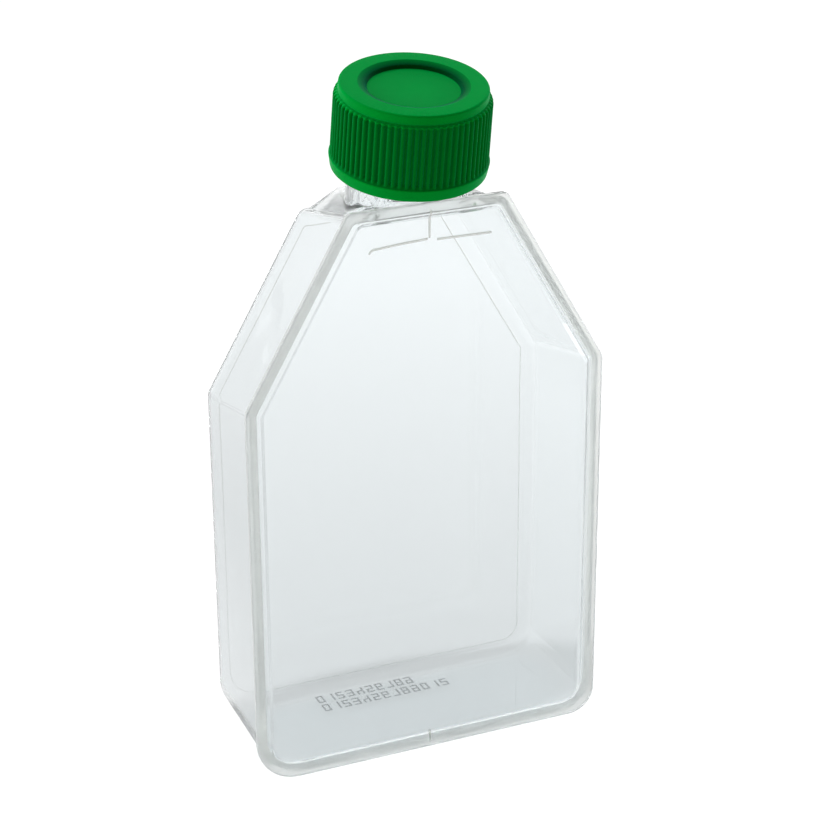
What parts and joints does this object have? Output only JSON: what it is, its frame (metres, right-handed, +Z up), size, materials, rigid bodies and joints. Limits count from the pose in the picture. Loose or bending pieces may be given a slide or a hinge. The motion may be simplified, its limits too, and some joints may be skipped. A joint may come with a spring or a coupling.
{
  "type": "cell culture flask",
  "caption": "Clear flat-sided culture flask with sloping shoulders, a welded front plate and a canted threaded neck closed by a ribbed green screw cap.",
  "frame": {"origin": "middle of the body's width and depth, on the plane that the front plate's foot stands on", "axes": "+Z up the standing flask, +Y out of the growth panel at the back, +X to the right as the front plate is faced"},
  "size_m": [0.085, 0.0415, 0.16],
  "materials": {
    "tray_polystyrene": "clear moulded polystyrene, polished",
    "plate_polystyrene": "clear moulded polystyrene, polished",
    "cap_polyethylene": "moulded high-density polyethylene, satin",
    "liner_foam": "white closed-cell polyethylene foam"
  },
  "bodies": {
    "flask": {"flask_tray": "tray_polystyrene", "front_plate": "plate_polystyrene"},
    "seal": {"cap_liner": "liner_foam"},
    "screw_cap": {"cap": "cap_polyethylene"}
  },
  "joints": [
    {"name": "cap_lift", "type": "slide", "parent": "flask", "child": "seal", "axis": [0, -0.1736, 0.9848], "range_m": [0, 0.0252]},
    {"name": "cap_turn", "type": "hinge", "parent": "seal", "child": "screw_cap", "pos_m": [0, -0.004, 0.1304], "axis": [0, -0.1736, 0.9848], "range_deg": [0, 2520]}
  ],
  "couplings": [
    {"joint": "cap_turn", "follows": "cap_lift", "rad_per_m": 1745.3}
  ]
}
